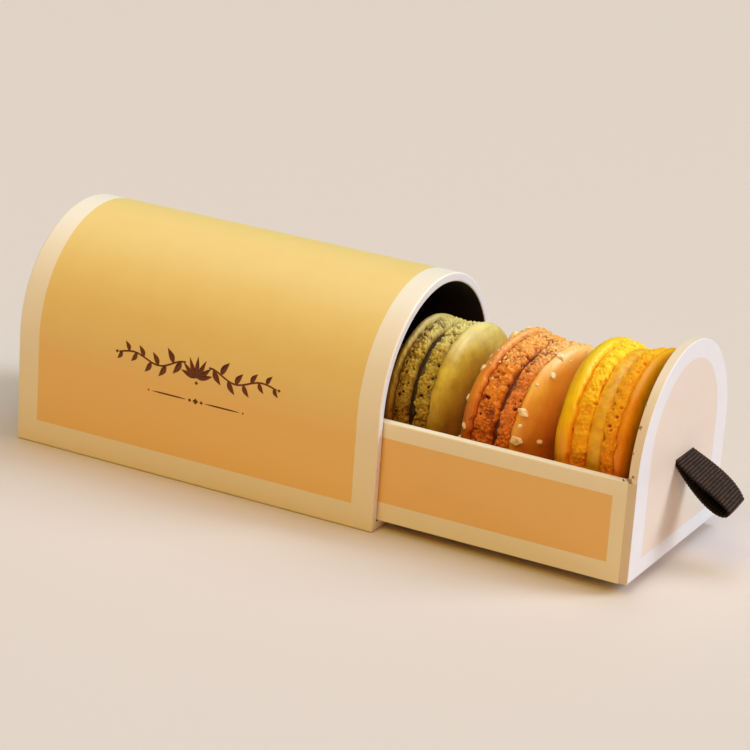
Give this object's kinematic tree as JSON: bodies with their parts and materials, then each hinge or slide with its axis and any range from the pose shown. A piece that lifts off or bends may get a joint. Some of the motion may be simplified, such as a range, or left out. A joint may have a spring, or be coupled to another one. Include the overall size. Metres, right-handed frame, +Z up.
{
  "type": "box of macarons",
  "caption": "Arched rigid board sleeve with a slide-out drawer, pulled part way out by its ribbon loop, holding macarons that stand on edge.",
  "frame": {"origin": "middle of the sleeve's underside, in the plane that the box stands on", "axes": "+X the way the drawer slides out, along the sleeve; +Y across the box; +Z up"},
  "size_m": [0.1756, 0.057, 0.0552],
  "materials": {
    "sleeve_wrap": "satin peach-gold wrap paper with a pale border, over greyboard, black paper inside",
    "drawer_wrap": "satin peach-gold wrap paper with a cream top edge, over greyboard, black paper inside",
    "panel_wrap": "satin cream wrap paper with a white border, over greyboard, black paper inside",
    "ribbon": "dark brown grosgrain ribbon",
    "green_meringue": "satin baked almond meringue, olive green, with a crumbly foot",
    "amber_meringue": "satin baked almond meringue, amber orange, with chips of nut",
    "yellow_meringue": "satin baked almond meringue, bright yellow, with a crumbly foot",
    "dark_filling": "soft dark brown ganache",
    "cream_filling": "soft pale yellow buttercream"
  },
  "bodies": {
    "sleeve": {"sleeve": "sleeve_wrap"},
    "drawer": {"drawer_floor": "drawer_wrap", "drawer_near_wall": "drawer_wrap", "drawer_far_wall": "drawer_wrap", "drawer_end_panel": "panel_wrap", "drawer_back_panel": "panel_wrap", "pull_ribbon": "ribbon", "green_back_shell": "green_meringue", "green_filling": "dark_filling", "green_front_shell": "green_meringue", "amber_back_shell": "amber_meringue", "amber_filling": "dark_filling", "amber_front_shell": "amber_meringue", "yellow_back_shell": "yellow_meringue", "yellow_filling": "cream_filling", "yellow_front_shell": "yellow_meringue"}
  },
  "joints": [
    {"name": "drawer_slide", "type": "slide", "parent": "sleeve", "child": "drawer", "axis": [1, 0, 0], "range_m": [-0.0628, 0.02]}
  ]
}
